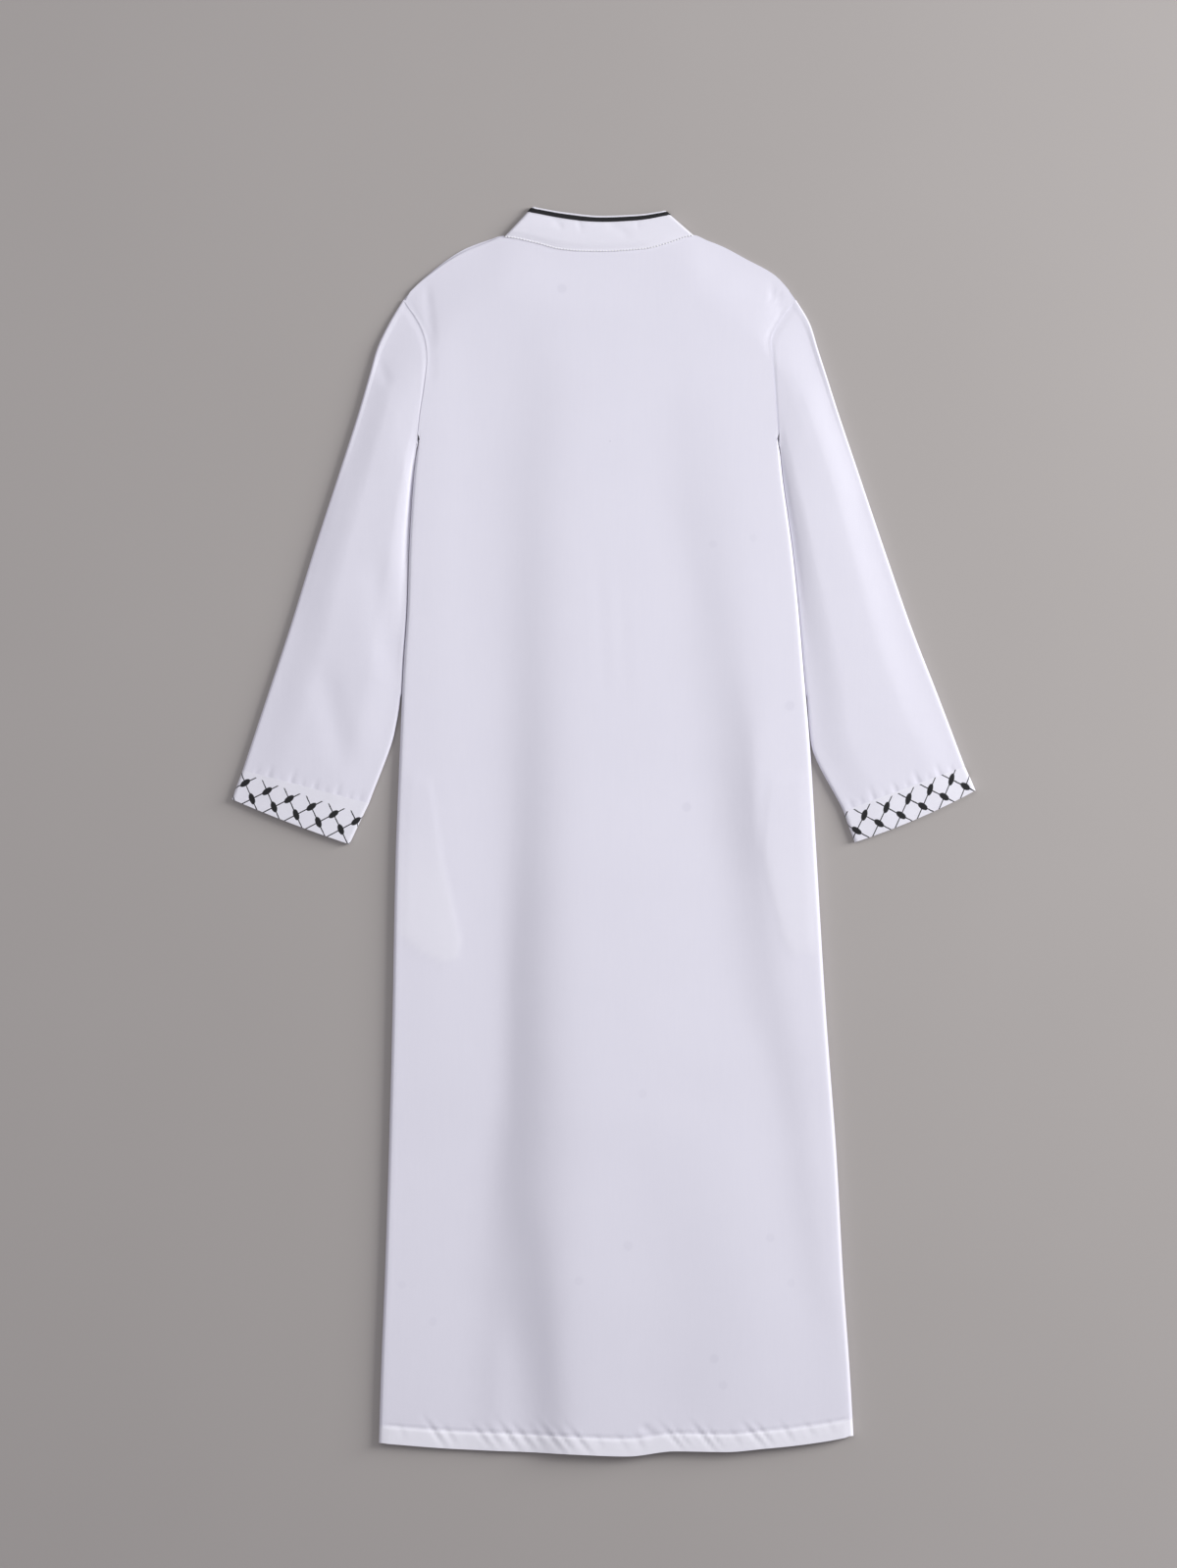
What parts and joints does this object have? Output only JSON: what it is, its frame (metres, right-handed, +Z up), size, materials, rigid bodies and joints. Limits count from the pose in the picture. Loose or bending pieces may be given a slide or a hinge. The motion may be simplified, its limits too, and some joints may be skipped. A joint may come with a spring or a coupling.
{
  "type": "thobe robe",
  "caption": "Ankle-length white robe with long sleeves, a stand collar with a black trim and patterned cuff bands, laid flat with its back up.",
  "frame": {"origin": "on the ground under the middle of the robe's outline", "axes": "+X across the robe towards the wearer's right sleeve as seen from behind, +Y from the hem to the collar, +Z up off the ground"},
  "size_m": [0.8652, 1.4523, 0.0176],
  "materials": {
    "robe_cloth": "thin smooth white cloth with a faint lavender cast and a soft sheen",
    "cuff_cloth": "matt white cloth with a black fishnet pattern of crossing lines and leaf spots",
    "black_ribbon": "narrow matt black ribbon",
    "pocket_cloth": "plain white pocketing"
  },
  "bodies": {
    "root": {"back_panel": "robe_cloth", "front_panel": "robe_cloth", "sleeve_left": "robe_cloth", "sleeve_right": "robe_cloth", "placket_over": "robe_cloth", "placket_under": "robe_cloth", "collar": "robe_cloth", "collar_trim": "black_ribbon", "cuff_left": "cuff_cloth", "cuff_right": "cuff_cloth", "pocket_bag_left": "pocket_cloth", "pocket_bag_right": "pocket_cloth"}
  },
  "joints": []
}
